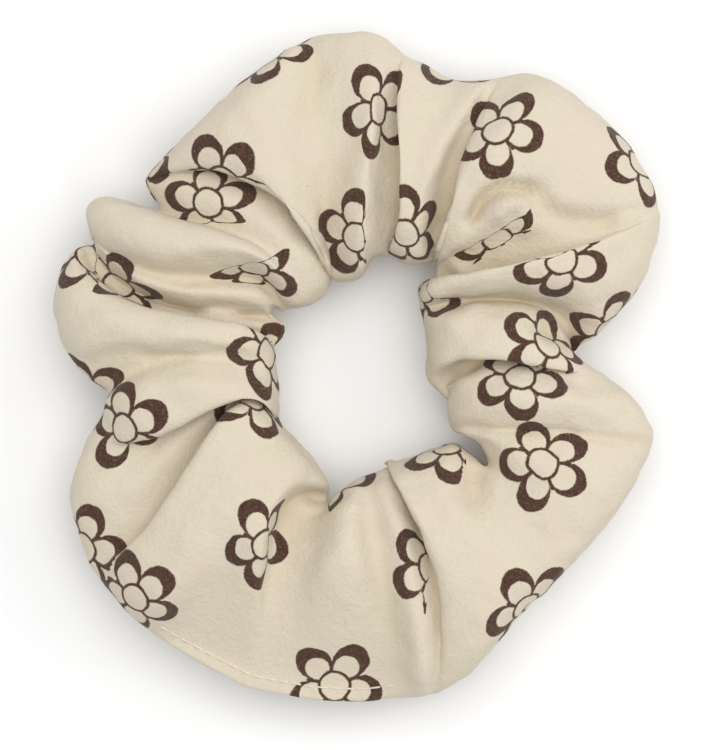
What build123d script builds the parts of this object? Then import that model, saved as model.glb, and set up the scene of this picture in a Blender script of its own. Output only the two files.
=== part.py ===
"""A gathered fabric hair scrunchie lying flat, in millimetres.

A strip of printed crepe is sewn into a tube, turned right side out and closed into a ring around a
woven elastic loop. The long seam and the end seam have their allowances inside the tube. The last
stretch of the outer edge, where the tube was turned, is closed by a row of topstitching through a
flat lip. Each seam is a lockstitch, so it has a needle thread on one face and a bobbin thread on
the other. +Z is up, and the origin is on the surface that the scrunchie rests on, below its middle.
"""

import os
from math import cos, degrees, radians, sin

from build123d import *

# Ring of gathered cloth: the free edges of its cross-section at every 15 degrees, from +X round by +Y
STEP_DEG = 15
LOFT_DEG = 45
INNER_RADII = [
    11.9, 12.8, 14.7, 16.1, 20.5, 19.8, 14.9, 14.4, 12.8, 13.5, 15.2, 14.0,
    14.2, 13.8, 15.4, 16.8, 17.5, 20.6, 20.1, 18.4, 18.7, 20.0, 18.7, 14.0,
]
OUTER_RADII = [
    41.3, 50.0, 60.2, 61.1, 59.0, 53.0, 58.5, 56.0, 50.8, 48.7, 54.3, 54.0,
    49.9, 48.2, 54.0, 55.3, 55.8, 56.5, 55.6, 58.3, 52.9, 50.5, 51.6, 52.2,
]
HALF_HEIGHTS = [
    12.4, 12.9, 13.6, 14.0, 13.6, 12.8, 13.4, 13.2, 12.6, 12.5, 13.0, 12.9,
    12.6, 12.5, 13.0, 13.5, 13.3, 13.2, 12.9, 13.4, 13.1, 12.7, 13.0, 12.8,
]
MID_HEIGHT = 11.9  # height of the seam line, where the upper and lower cloth meet

# Cloth
PLY = 0.4  # crepe, one layer
COVER_WALL = 2 * PLY  # gathered cloth lies about double round the ring
LONG_ALLOWANCE = 6.0
END_ALLOWANCE = 5.0
END_SEAM_ANGLE = -17.0

# Closing lip on the outer edge
LIP_START, LIP_END, LIP_STEP = 231.0, 276.0, 5.0
LIP_WIDTH = 3.0
LIP_THICKNESS = 4 * PLY  # two folded edges, face to face
LIP_ROOT = 1.6  # how far the lip runs in past the ring's edge

# Elastic loop
ELASTIC_RADIUS = 25.0
ELASTIC_THICKNESS = 1.0
ELASTIC_WIDTH = 6.0
ELASTIC_OVERLAP = 12.0
ELASTIC_RAMP_DEG = 8.0  # where the top end steps over the bottom end
ELASTIC_JOIN_ANGLE = 150.0

# Sewing thread
THREAD_RADIUS = 0.14
STITCH_PITCH = 2.5
STITCH_RUN = 2.1  # thread lying on the cloth between two needle holes
THREAD_CLEARANCE = 0.01
LONG_SEAM_DEPTH = 3.4  # of the long seam's stitches, inside the cover's wall
CROSSING_DEG = 2.0  # the long seam's stitches stop this far each side of the end seam
LIP_SEAM_OFFSET = 0.9  # of the closing stitches, outside the ring's edge
LIP_SEAM_MARGIN_DEG = 3.0
ZIGZAG_WIDTH = 3.6
ZIGZAG_SHARE = 0.64  # of the lap's length
ZIGZAG_ROWS = 8
ZIGZAG_RISE = 0.06  # clear of the band's face

OVERSIZE = 80.0  # larger than any part, for cutting tools


def at(angle, radius, height):
    """A point on the ring."""
    return Vector(radius * cos(radians(angle)), radius * sin(radians(angle)), height)


def between(values, angle):
    """A value of the ring at any angle, from its two neighbours."""
    place = (angle % 360) / STEP_DEG
    low = int(place)
    share = place - low
    return values[low % len(values)] * (1 - share) + values[(low + 1) % len(values)] * share


def section_plane(angle):
    """The upright plane through the ring's axis, with X outwards and Y up."""
    c, s = cos(radians(angle)), sin(radians(angle))
    return Plane(origin=(0, 0, 0), x_dir=(c, s, 0), z_dir=(s, -c, 0))


def section(angle, inset):
    """The tube's oval cross-section at an angle, made smaller all round by inset."""
    inner, outer = between(INNER_RADII, angle), between(OUTER_RADII, angle)
    oval = Ellipse((outer - inner) / 2 - inset, between(HALF_HEIGHTS, angle) - inset)
    return section_plane(angle) * Pos((outer + inner) / 2, MID_HEIGHT) * oval


def ring(inset):
    """The lobed ring as lofts of an eighth of a turn each, resting on a flat face."""
    eighths = [
        loft([section(start + i * STEP_DEG, inset) for i in range(LOFT_DEG // STEP_DEG + 1)])
        for start in range(0, 360, LOFT_DEG)
    ]
    above = Pos(0, 0, inset + OVERSIZE / 2) * Box(2 * OVERSIZE, 2 * OVERSIZE, OVERSIZE)
    return Part() + eighths & above


def outline(radii, offset):
    """A closed smooth outline, seen from above, through the ring's radii plus an offset."""
    points = [at(i * STEP_DEG, r + offset, 0) for i, r in enumerate(radii)]
    return make_face(Spline(*points, periodic=True))


def slab(face, thickness):
    """A flat layer at the seam line's height."""
    return Pos(0, 0, MID_HEIGHT - thickness / 2) * extrude(face, thickness)


def long_allowance():
    """The two plies of the long seam, turned inwards all along the outer edge."""
    edge = outline(OUTER_RADII, LIP_WIDTH) - outline(OUTER_RADII, -COVER_WALL - LONG_ALLOWANCE)
    return slab(edge, 2 * PLY)


def end_allowance():
    """The two plies of the end seam, turned inwards all round the tube."""
    opening = section(END_SEAM_ANGLE, COVER_WALL + END_ALLOWANCE)
    sheet = section(END_SEAM_ANGLE, -COVER_WALL) - opening
    return extrude(sheet, PLY, both=True)


def lip():
    """The flat closed edge that the topstitching runs along."""
    count = round((LIP_END - LIP_START) / LIP_STEP)
    angles = [LIP_START + i * LIP_STEP for i in range(count + 1)]
    inside = [at(a, between(OUTER_RADII, a) - LIP_ROOT, 0) for a in angles]
    outside = [at(a, between(OUTER_RADII, a) + LIP_WIDTH, 0) for a in angles[1:-1]]
    edge = [inside[0], *outside, inside[-1]]
    face = make_face([Spline(*inside), Spline(*edge)])
    return slab(face, LIP_THICKNESS)


def fabric_cover():
    """The one strip of cloth: the ring's hollow skin, its lip and the allowances inside it."""
    hollow = ring(COVER_WALL) - long_allowance() - end_allowance()
    return ring(0) + lip() - hollow


def elastic_band():
    """A flat band bent into a loop, with its top end lapped over its bottom end."""
    step = ELASTIC_THICKNESS + THREAD_CLEARANCE
    lap = degrees(ELASTIC_OVERLAP / ELASTIC_RADIUS)
    start = ELASTIC_JOIN_ANGLE - lap / 2
    end = start + 360

    def edge(radius):
        low = [at(start + t * (360 - ELASTIC_RAMP_DEG), radius, 0) for t in (0, 0.5, 1)]
        high = [at(end + t * lap, radius + step, 0) for t in (0, 0.5, 1)]
        main, top = ThreePointArc(*low), ThreePointArc(*high)
        ramp = Spline(low[2], high[0], tangents=[main % 1, top % 0])
        return [main, ramp, top]

    inner, outer = edge(ELASTIC_RADIUS), edge(ELASTIC_RADIUS + ELASTIC_THICKNESS)
    ends = [Line(inner[0] @ 0, outer[0] @ 0), Line(inner[2] @ 1, outer[2] @ 1)]
    face = make_face(inner + outer + ends)
    return Pos(0, 0, MID_HEIGHT - ELASTIC_WIDTH / 2) * extrude(face, ELASTIC_WIDTH)


def stitch(start, end):
    """One run of thread between two needle holes."""
    path = end - start
    return Solid.make_cylinder(THREAD_RADIUS, path.length, Plane(origin=start, z_dir=path))


def run_of(points):
    """Stitches along a row of points, each shortened to leave its needle holes clear."""
    made = []
    for a, b in zip(points, points[1:]):
        middle, half = (a + b) / 2, (b - a).normalized() * STITCH_RUN / 2
        made.append(stitch(middle - half, middle + half))
    return made


def seam_pair(rows, thickness):
    """The needle thread on one face of the cloth and the bobbin thread on the other."""
    rise = thickness / 2 + THREAD_RADIUS + THREAD_CLEARANCE
    return [
        Compound(children=[run for row in rows for run in run_of([p + n * side * rise for p, n in row])])
        for side in (1, -1)
    ]


def ring_row(start, end, offset):
    """Points a stitch apart along the outer edge, each with the direction of its face."""
    row, angle = [], start
    while angle <= end:
        radius = between(OUTER_RADII, angle) + offset
        row.append((at(angle, radius, MID_HEIGHT), Vector(0, 0, 1)))
        angle += degrees(STITCH_PITCH / radius)
    return row


def long_rows():
    """The long seam, from the lip round to the end seam and from there back to the lip."""
    offset, end_seam = -COVER_WALL - LONG_SEAM_DEPTH, END_SEAM_ANGLE + 360
    return [
        ring_row(LIP_END, end_seam - CROSSING_DEG, offset),
        ring_row(end_seam + CROSSING_DEG, LIP_START + 360, offset),
    ]


def closing_row():
    """The closing stitches along the lip."""
    return ring_row(LIP_START + LIP_SEAM_MARGIN_DEG, LIP_END - LIP_SEAM_MARGIN_DEG, LIP_SEAM_OFFSET)


def end_row():
    """Points a stitch apart round the tube at the end seam, starting clear of the long seam."""
    line = section(END_SEAM_ANGLE, COVER_WALL + END_ALLOWANCE / 2).edges()[0]
    count = round(line.length / STITCH_PITCH)
    face = section_plane(END_SEAM_ANGLE).z_dir
    return [(line @ ((i + 0.5) / count), face) for i in range(count)]


def zigzag(radius):
    """The zigzag that joins the elastic's ends, on a face of that radius."""
    length = ZIGZAG_SHARE * degrees(ELASTIC_OVERLAP / ELASTIC_RADIUS)
    first = ELASTIC_JOIN_ANGLE - length / 2
    points = [
        at(first + length * i / ZIGZAG_ROWS, radius, MID_HEIGHT + (-1) ** i * ZIGZAG_WIDTH / 2)
        for i in range(ZIGZAG_ROWS + 1)
    ]
    made = []
    for a, b in zip(points, points[1:]):
        gap = (b - a).normalized() * 2 * THREAD_RADIUS
        made.append(stitch(a + gap, b - gap))
    return Compound(children=made)


def elastic_join():
    """The zigzag's needle thread outside the lap and its bobbin thread inside the loop."""
    rise = THREAD_RADIUS + ZIGZAG_RISE
    outside = ELASTIC_RADIUS + 2 * ELASTIC_THICKNESS + THREAD_CLEARANCE
    return [zigzag(outside + rise), zigzag(ELASTIC_RADIUS - rise)]


def main():
    threads = {
        "long_seam": seam_pair(long_rows(), 2 * PLY),
        "end_seam": seam_pair([end_row()], 2 * PLY),
        "closing_seam": seam_pair([closing_row()], LIP_THICKNESS),
        "elastic_join": elastic_join(),
    }
    nodes = {"fabric_cover": fabric_cover(), "elastic_band": elastic_band()}
    for seam, (needle, bobbin) in threads.items():
        nodes[f"{seam}_needle_thread"] = needle
        nodes[f"{seam}_bobbin_thread"] = bobbin
    middle = nodes["fabric_cover"].bounding_box().center()
    os.makedirs("parts", exist_ok=True)
    for name, shape in nodes.items():
        export_step(Pos(-middle.X, -middle.Y, 0) * shape, f"parts/{name}.step")


main()
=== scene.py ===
"""The looks of a gathered crepe scrunchie lying flat: its cloth, print, seams, threads and elastic.

The cover is one closed tube of cloth. It is lofted through a list of ribs, which are the crests, edges,
tucks and valleys of its gathers, each from the hole over the top to the outer edge. The print's flowers
are laid out on the finished cloth, unrolled from a point of each, so that they bend and hide with it.
Sizes in the lists are millimetres in the model's own frame: +Z is up, and the origin is under the
middle of the ring.
"""

import heapq
import math
import random

import bpy
import numpy as np
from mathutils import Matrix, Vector
from mathutils.bvhtree import BVHTree


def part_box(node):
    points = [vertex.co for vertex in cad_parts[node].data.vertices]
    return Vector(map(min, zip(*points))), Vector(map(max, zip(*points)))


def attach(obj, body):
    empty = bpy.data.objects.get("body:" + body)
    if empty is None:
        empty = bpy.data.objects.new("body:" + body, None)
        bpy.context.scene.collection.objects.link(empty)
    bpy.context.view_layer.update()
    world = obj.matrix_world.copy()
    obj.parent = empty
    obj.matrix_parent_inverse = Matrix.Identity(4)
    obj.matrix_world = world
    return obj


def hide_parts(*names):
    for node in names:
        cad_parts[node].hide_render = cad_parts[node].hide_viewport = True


bl_info = {
    "name": "Scrunchie",
    "version": (1, 0, 0),
    "blender": (4, 5, 0),
    "location": "View3D > Sidebar > Scrunchie",
    "description": "Makes a gathered crepe scrunchie with its print, seams, threads and elastic",
    "category": "Add Mesh",
}

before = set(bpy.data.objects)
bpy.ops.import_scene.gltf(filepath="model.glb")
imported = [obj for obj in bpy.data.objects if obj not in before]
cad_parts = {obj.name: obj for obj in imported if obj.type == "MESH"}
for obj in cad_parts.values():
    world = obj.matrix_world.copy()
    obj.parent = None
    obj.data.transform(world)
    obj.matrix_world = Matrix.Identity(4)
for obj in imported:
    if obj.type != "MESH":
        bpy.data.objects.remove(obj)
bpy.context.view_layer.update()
MM = 0.001

# Ribs of the gathered cloth, anticlockwise from the end seam. Each has x and y of four points in plan,
# from the hole to the outer edge, and the height of the cloth's top on its inner and on its outer half.
RIBS = [
    # end seam and the panel above it
    (16.3, -11, 26.5, -10.5, 39, -11.2, 51.8, -12.8, 22, 21.5),
    (15.8, -6.5, 26, -6, 37.5, -6, 50, -7.6, 25, 24),
    (15.8, -2.8, 25, -0.8, 35, -2.5, 45, -2.6, 21.5, 22.3),
    # tuck below the narrow band, whose cloth shows at the hole
    (16.2, -7.2, 25, 2.5, 34.5, 0, 42.3, -0.9, 14, 22.3),
    (13.6, -4, 24, 3, 34, 0.2, 41, 0, 15, 22.3),
    # narrow band
    (12, -1.2, 22.5, 0.8, 33, -0.8, 40, 0.6, 24.3, 22.6),
    (12, 3.8, 22.5, 5, 32, 4, 38.6, 1.6, 25.2, 22),
    (11.6, 8, 20, 10.2, 30.5, 10, 37.7, 2.5, 23.5, 15.5),
    (11.2, 9.5, 20.5, 11.6, 32.5, 10.4, 37.8, 2.9, 17.5, 12),
    # band below the big lobe
    (10.9, 11, 20.5, 13, 34, 12.5, 43, 6.4, 22, 20.5),
    (10.5, 13, 21.5, 14.8, 36, 15.5, 50, 14.5, 24.8, 23.5),
    (11.6, 15.6, 25, 17.4, 38.5, 21, 53.3, 26, 24.5, 24.3),
    (13, 14.5, 24, 15.2, 38.3, 19.8, 53, 27.2, 13, 24),
    # big upper right lobe
    (13.6, 17.2, 24.5, 20.5, 39, 24.5, 52.3, 30, 16, 24.8),
    (13.8, 18, 24, 25.5, 35.5, 31, 49, 36.8, 22.5, 24.5),
    (13.8, 18.4, 21.5, 31.5, 31, 39, 42.3, 44.2, 25, 25.2),
    (13.5, 18.4, 19, 32.5, 26, 42.5, 33.2, 50.7, 25, 24.5),
    (13.3, 18.6, 16.2, 28.5, 18, 37.5, 26, 51, 23.5, 22.3),
    (14, 18.8, 17, 29, 19.5, 37.5, 25, 50.9, 15.5, 22),
    # wedge between the lobes
    (12.8, 18.2, 14, 28, 17, 38, 24, 50.7, 14.5, 22.3),
    (12.3, 18.2, 11.7, 28, 16.2, 39.8, 22.3, 50.2, 22.5, 23.9),
    (8.6, 17.8, 9.2, 28.5, 11.2, 40, 17.3, 50, 24.5, 21.5),
    (4.9, 20, 7.2, 31.2, 6.6, 43.5, 8.8, 54.3, 24, 23),
    (6.8, 19.4, 9.3, 30.5, 7.6, 44, 8, 55, 16.5, 20.5),
    # top lobe
    (2.6, 19.2, 4.3, 29, 4.4, 45, 6.4, 56.1, 17.5, 22.5),
    (1, 15.2, 1, 28.5, 2.3, 41, 2, 58.9, 24.5, 24.8),
    (-3.8, 14.8, -5, 28, -2.3, 40, -2, 58.8, 16.5, 24.5),
    (-5.2, 16.5, -8, 31, -8.5, 45, -6.5, 58.2, 23, 20),
    (-5.8, 18, -12, 31, -16, 43, -13, 55.3, 25, 25),
    (-5.5, 17, -13.5, 29, -22.5, 39, -25, 45.3, 25, 25.2),
    (-4.9, 16.5, -12, 28, -23.5, 35.5, -32.8, 37.9, 24.5, 24),
    (-4.8, 15.6, -11.6, 26.8, -23.5, 33.2, -37, 33.2, 24, 21.5),
    (-4.8, 17.5, -10, 28.5, -22.8, 34.2, -37.2, 32.2, 16.5, 19),
    # panel under the top lobe
    (-5, 13.2, -14, 23.8, -24.5, 29.8, -36.6, 30.8, 22.5, 21.5),
    (-7.2, 11.2, -16, 21.5, -26.5, 25.2, -34.3, 26.8, 23, 17),
    (-8, 10.6, -16.8, 20.8, -27, 24.5, -35.5, 27.2, 23.3, 15.5),
    # upper left lobe and its pocket
    (-9, 10.4, -17.5, 20.5, -28.5, 24.8, -44.3, 29.8, 23.6, 22),
    (-10.8, 10, -19.5, 20, -32.5, 21.5, -47.8, 27.8, 24, 25),
    (-12.2, 10, -20.3, 18.5, -31.5, 18.2, -47, 23.5, 21.5, 23),
    (-13.4, 9.4, -19.8, 15.2, -32.5, 15.6, -46.6, 22.6, 14.5, 18.5),
    (-14.4, 10.6, -22.2, 13.2, -33.5, 13.8, -46.3, 22, 20.5, 20),
    (-15.2, 9, -24, 10.8, -35.5, 12.6, -46.4, 21.4, 19, 16),
    (-13.8, 8.2, -21.5, 9, -36, 11.8, -46.7, 21.2, 12.5, 12),
    # tab at the hole, below the left lobe
    (-12.5, 6.4, -19.5, 7.6, -36.5, 11.3, -47.2, 21.3, 18.5, 11.8),
    (-14.6, 3.2, -21.5, 6, -37.5, 10.4, -48, 21, 14.5, 12.5),
    # left lobe
    (-15.2, 4.4, -24.5, 8.4, -39.5, 11, -50.2, 19.8, 23.5, 20.5),
    (-14.4, 2.5, -26, 5, -40, 7.5, -53.3, 13.5, 25, 24.8),
    (-14.2, 0.8, -27, 3.5, -41.5, 3.5, -52, 4.5, 24.3, 22.5),
    (-14.1, -0.8, -26.8, 2, -39.5, 0.5, -47, -2.6, 23.3, 18),
    (-13.9, -2, -26.2, 0.8, -37.5, -0.8, -43.4, -4.9, 23.6, 17.5),
    (-13.6, -4.5, -25.5, -2, -37.2, -3, -43.6, -5.6, 24.8, 23.8),
    (-13.9, -8.6, -23.5, -5, -36.5, -8, -44.3, -7.3, 24.8, 23.5),
    (-14.4, -9.6, -22.5, -6.6, -34.5, -12.4, -45.2, -9.2, 24.3, 22.5),
    (-14, -7.5, -22, -4.5, -35, -11.5, -47.6, -13.4, 15.5, 20),
    # lower left valley
    (-14, -7.5, -24.5, -7.5, -38, -19.5, -50.6, -21.9, 16.5, 21.3),
    (-14, -7.8, -21.5, -7.8, -30, -23, -47.5, -33.8, 15, 19),
    # bottom left panel
    (-14.1, -9, -23.4, -8, -32, -20.5, -45.6, -36.4, 22.8, 23),
    (-12.7, -11.2, -21, -15.5, -30, -30.5, -42.3, -41, 25, 24.5),
    (-8.8, -14.8, -16.5, -21.5, -24, -37.5, -33.6, -48.6, 25.5, 25.2),
    (-4.8, -20.6, -14.3, -25, -17.3, -39, -21.7, -55.4, 24.8, 24.8),
    (-5, -23, -13.4, -26, -15.8, -40.5, -18.5, -56.6, 13, 23.5),
    # bottom middle panel
    (-5, -24.3, -9.3, -29, -11.5, -42, -14, -57.6, 14.5, 23.3),
    (-4.2, -22.6, -4.5, -30.5, -6, -43, -7.2, -58.7, 23, 24.3),
    (-0.8, -20.3, -0.5, -29.5, 0.8, -42.5, 2, -58.9, 24, 23.8),
    (1.8, -19, 3.2, -29.5, 5.6, -42.5, 8, -58.5, 21, 18),
    (4, -18, 7.5, -29.5, 9.8, -43.5, 11.5, -57.9, 23, 23.5),
    (6.5, -16.5, 11, -27, 14.3, -39, 13.2, -57.7, 16, 21),
    # bottom right panel
    (4.6, -17, 9.2, -26, 13.6, -37.5, 14.8, -57.3, 24, 23.5),
    (9.2, -15.9, 14, -27, 19, -40, 19.8, -53.6, 24.5, 25),
    (14.8, -13.8, 18.5, -24, 25, -36, 28, -43.8, 22.5, 25.3),
    (17.6, -13.4, 21.5, -22.5, 29, -33, 33.5, -38.6, 20, 25),
    (22.4, -17.6, 27, -20.5, 34.5, -28, 39.2, -32.8, 20, 25),
    (21.4, -13.2, 28.5, -15.5, 39, -19.5, 46.8, -23.2, 23, 24.5),
]

# Dimples and soft creases that run across the ribs: their line, width and depth
DENTS = [
    ([(20, 26), (21.6, 29), (24.6, 31), (29.5, 30.8)], 1.1, 3.4),
    ([(24.4, 26), (26, 28.3), (28.3, 28), (29.8, 24.5)], 1.6, -1.8),
    ([(31, 29.4), (33, 26.8), (38, 25), (43, 24.8)], 1.7, 1.7),
    ([(42.5, 25.2), (47, 27.2), (52, 28)], 0.9, 0.6),
    ([(17, -10.4), (24, -11), (34, -11.2), (42, -12.4), (51.5, -13.4)], 0.8, 1.1),
    ([(19.8, -19.5), (20, -22)], 2.6, 2.6),
    ([(36.5, -2.6), (41, -5.4), (46, -8.6)], 1.2, 0.8),
    ([(33, 6), (36.5, 4.2)], 1.7, 3.5),
    ([(-46.5, 1), (-40, 2.6), (-30, 2.2)], 1.4, 0.9),
    ([(-8, 55), (-7.2, 50), (-8.5, 45)], 2, 1),
]

# Flowers that show from above. Each has a point of the cloth that the print is laid out from, the
# direction of one petal in degrees, and the way from that point to the flower's middle. Where a crease
# takes up the rest of a flower, its direction from the flower's middle and its distance follow.
FLOWERS = [
    (3.9, 44.4, 51, 0, 0),
    (23.7, 40.9, 53, 0, 0),
    (49.4, 36.5, 30, 0.3, -1),
    (-16.5, 51.5, 44, 1.3, 4.8),
    (13.7, 50.1, 27, 3, 6.1),
    (-23.7, 34, 59, 0, -2.2, (-80, -0.6)),
    (-25.7, 28.3, 25, 0, 0, (-85, 3.4)),
    (-35.4, 33, 0, -6, 2),
    (-0.5, 22.2, 23, 0.6, 0, (0, 1.4)),
    (8.2, 23.1, 24, 0, 0),
    (24, 22, 56, 0.6, 0.3, (128, 1.1), (-50, 1.4)),
    (34.9, 17.3, 52, 0, 1.4, (102, 1.3)),
    (12.7, 12.2, 38, -2.3, 0, (65, 1.4)),
    (41, 8.5, 6, 3.6, -3.8),
    (33.7, 3.7, 27, -0.5, 0),
    (28.6, -1.8, 57, 0, 0),
    (32.7, -16.7, 36, -0.6, -0.3),
    (15.8, -15, 64, -0.3, 2.6, (10, 2.6)),
    (9.8, -33.5, 0, 3.2, -0.6, (0, -0.8)),
    (27, -40.9, 43, 2.6, -2),
    (-3.7, -55.6, 59, 0, 0),
    (-17.6, -30.9, 44, 1.9, -0.4),
    (-17.8, -8.7, 2, 0, 4.6),
    (-15.5, 2.2, 36, 0, 0),
    (-17.9, 17.6, 45, 0, -0.6, (118, 1.0), (262, 4.6)),
    (-41, 15.6, 23, -0.9, -4),
    (-49, 18, 20, 2.2, 2.8, (10, 1.6)),
    (-40.8, -10.5, 24, 0, 0),
    (-44.7, -2.9, 53, -1.6, -4),
    (-46.5, -31.2, 5, -2, -0.8),
    (-38.5, -40.6, 45, 0, 0),
    (-5.5, -24.8, 41, 2.6, 7, (180, 1.8)),
]

# Angles of the outer edge between which the tube was closed by hand, in degrees
LIP_START, LIP_END = 231.0, 277.0
SIDES = ("needle", "bobbin")


def described(name, text, default):
    """A size that a user can change, in metres."""
    return bpy.props.FloatProperty(
        name=name, description=text, default=default, subtype="DISTANCE", unit="LENGTH", precision=5
    )


def colour(name, text, default):
    """A colour that a user can change."""
    return bpy.props.FloatVectorProperty(
        name=name, description=text, default=default, size=3, min=0, max=1, subtype="COLOR"
    )


class ScrunchieCloth(bpy.types.PropertyGroup):
    """Sizes and colours of the printed crepe."""

    strip_width: described("Strip width", "Width that the cloth was cut to", 0.1)
    strip_length: described("Strip length", "Length that the cloth was cut to", 0.39)
    ply: described("Ply", "Thickness of one layer of crepe", 0.0004)
    edge_height: described("Edge height", "Height of the hole's edge and the outer edge", 0.0119)
    rest_height: described("Rest height", "Height of the lowest cloth's outer face", 0.0002)
    crown_height: described("Crown height", "Height of the tallest gathers", 0.0255)
    flower_reach: described("Flower reach", "How far the print is laid out from a flower's middle", 0.0102)
    flower_gap: described("Flower gap", "Least gap between flower middles where none is listed", 0.021)
    ground: colour("Ground", "Colour of the unprinted crepe", (0.665, 0.592, 0.463))
    blush: colour("Blush", "Colour of the crepe's slightly pinker areas", (0.665, 0.578, 0.468))
    # painted shade: the warmer, darker colour that the crepe is tinted towards inside its folds
    painted_fold_shade: colour("Painted fold shade", "Colour of the crepe inside its folds", (0.62, 0.53, 0.37))
    ink: colour("Ink", "Colour of the flowers", (0.07, 0.034, 0.021))


class ScrunchieSewing(bpy.types.PropertyGroup):
    """Sizes and colours of the seams, threads and elastic."""

    pitch: described("Stitch pitch", "Length of one stitch", 0.0023)
    run: described("Stitch run", "Thread that shows between two needle holes", 0.0018)
    thread: described("Thread", "Diameter of the sewing thread", 0.00032)
    lip_width: described("Lip width", "Flat edge outside the closing stitches", 0.0023)
    allowance: described("Allowance", "Width of the turned-in seam allowances", 0.0045)
    elastic_width: described("Elastic width", "Width of the woven elastic", 0.006)
    elastic_thickness: described("Elastic thickness", "Thickness of the woven elastic", 0.001)
    thread_colour: colour("Thread colour", "Colour of the sewing thread", (0.8, 0.73, 0.61))
    elastic_colour: colour("Elastic colour", "Colour of the woven elastic", (0.8, 0.78, 0.73))
    elastic_thread_colour: colour("Join thread colour", "Colour of the elastic's join", (0.78, 0.76, 0.72))


class ScrunchieStage(bpy.types.PropertyGroup):
    """The floor, lights and camera."""

    floor_colour: colour("Floor colour", "Colour of the plain floor", (0.93, 0.93, 0.93))
    camera_height: described("Camera height", "Height of the camera above the middle of the cloth", 0.9)
    view_height: described("View height", "Height of the view at the middle of the cloth", 0.13125)


def cloth():
    return bpy.context.scene.scrunchie_cloth


def sewing():
    return bpy.context.scene.scrunchie_sewing


# Shape of the gathered cloth

AROUND = 500  # mesh rows along the strip
ACROSS = 96  # mesh rows round the tube
OUTER_ROW = ACROSS // 2  # the row that lies on the outer edge
INNER_FULLNESS, UNDER_FULLNESS = 0.8, 0.6  # powers of the tube's roundness above and below
TUCK_RISE = 0.5  # how far a tuck rises below, as a share of how far it sinks above
SMOOTHING_ROUNDS = 11
DENT_FADE = 2.5  # how soon a dent fades out where the cloth turns away from above
FOLD_ROUNDS = 60  # of smoothing, to find the level that a fold lies below, for the painted fold shade
DARKEST_FOLD = 2.2  # depth in mm at which a fold has its full painted shade
LIP_SLOPE = 22.0  # how far in from the stitches the cloth takes to reach its full height, in mm
LIP_MARGIN = 0.4  # flat cloth inside the closing stitches
LIP_PLIES = 1.6  # half the thickness of the lip, in plies
WRINKLES = 26  # waves that the small creases are made of
WRINKLE_LENGTHS = (4, 10)
WRINKLE_HEIGHT = 0.2


def lagrange(points, t):
    """Points at t of the cubic curve that passes four points at 0, 1/3, 2/3 and 1."""
    knots = [0, 1 / 3, 2 / 3, 1]
    total = 0
    for i, point in enumerate(points):
        others = [knot for k, knot in enumerate(knots) if k != i]
        weight = np.prod([(t - knot) / (knots[i] - knot) for knot in others], axis=0)
        total = total + weight[:, None] * point
    return total


def rib_loop(rib):
    """The closed section of the tube at a rib: over the top to the outer edge and back underneath."""
    edge, rest, crown = (getattr(cloth(), f"{name}_height") / MM for name in ("edge", "rest", "crown"))
    angle = np.arange(ACROSS) * 2 * math.pi / ACROSS
    t = (1 - np.cos(angle)) / 2
    *plan, inner_top, outer_top = rib
    plan = lagrange(np.reshape(plan, (4, 2)), t)
    top = inner_top * (1 - t) + outer_top * t
    bottom = rest + TUCK_RISE * (crown - top)
    lift = np.abs(np.sin(angle))
    over = edge + (top - edge) * lift**INNER_FULLNESS
    under = edge - (edge - bottom) * lift**UNDER_FULLNESS
    return np.column_stack([plan, np.where(angle <= math.pi, over, under)])


def through(loops):
    """A closed smooth surface through the ribs' sections: an array of AROUND by ACROSS points."""
    gaps = np.linalg.norm(np.roll(loops, -1, 0) - loops, axis=2).mean(1)
    spans = np.sqrt(gaps)
    ends = np.round(np.cumsum(gaps) / gaps.sum() * AROUND).astype(int)
    steps = np.diff(ends, prepend=0)
    count = len(loops)
    rows = []
    for i in range(count):
        a, b, c, d = (loops[(i + k) % count] for k in (-1, 0, 1, 2))
        before, here, after = spans[i - 1], spans[i], spans[(i + 1) % count]
        leaving = ((b - a) / before - (c - a) / (before + here) + (c - b) / here) * here
        arriving = ((c - b) / here - (d - b) / (here + after) + (d - c) / after) * here
        for s in np.arange(steps[i]) / steps[i]:
            rows.append(
                (2 * s**3 - 3 * s**2 + 1) * b
                + (s**3 - 2 * s**2 + s) * leaving
                + (3 * s**2 - 2 * s**3) * c
                + (s**3 - s**2) * arriving
            )
    return np.array(rows)


def softened(points, rounds):
    """The surface after its folds have relaxed: each point moves towards its neighbours."""
    for _ in range(rounds):
        near = sum(np.roll(points, step, axis) for axis in (0, 1) for step in (-1, 1)) / 4
        points = points + 0.5 * (near - points)
    return points


def line_distance(x, y, line):
    """How far places in plan lie from a line of points."""
    nearest = np.full(x.shape, 1e9)
    for (ax, ay), (bx, by) in zip(line, line[1:]):
        dx, dy = bx - ax, by - ay
        share = np.clip(((x - ax) * dx + (y - ay) * dy) / (dx * dx + dy * dy), 0, 1)
        nearest = np.minimum(nearest, np.hypot(x - ax - share * dx, y - ay - share * dy))
    return nearest


def with_dents(points):
    """The surface with its dimples and soft creases pressed into the cloth that shows from above."""
    shown = np.clip(surface_normals(points)[..., 2] * DENT_FADE, 0, 1)
    made = points.copy()
    for line, width, depth in DENTS:
        away = line_distance(points[..., 0], points[..., 1], line)
        made[..., 2] -= depth * np.exp(-((away / width) ** 2)) * shown
    return made


def fold_shade_share(points):
    """How deep each point lies in a fold that shows from above, from 0 to 1: the share of painted shade
    that the crepe gets there.
    """
    hollow = softened(points, FOLD_ROUNDS)[..., 2] - points[..., 2]
    shown = np.clip(surface_normals(points)[..., 2] * 3 + 0.6, 0, 1)
    pressed = lip_share(points)[:, None] * np.clip(1.5 - edge_distance(points) / LIP_SLOPE, 0, 1)
    depth = np.clip(hollow / DARKEST_FOLD, 0, 1) * shown * (1 - pressed)
    return softened(depth[..., None], 3)[..., 0]


def edge_distance(points):
    """How far each point lies from the outer edge of its section, in plan."""
    return np.linalg.norm(points[..., :2] - points[:, OUTER_ROW : OUTER_ROW + 1, :2], axis=2)


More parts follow.
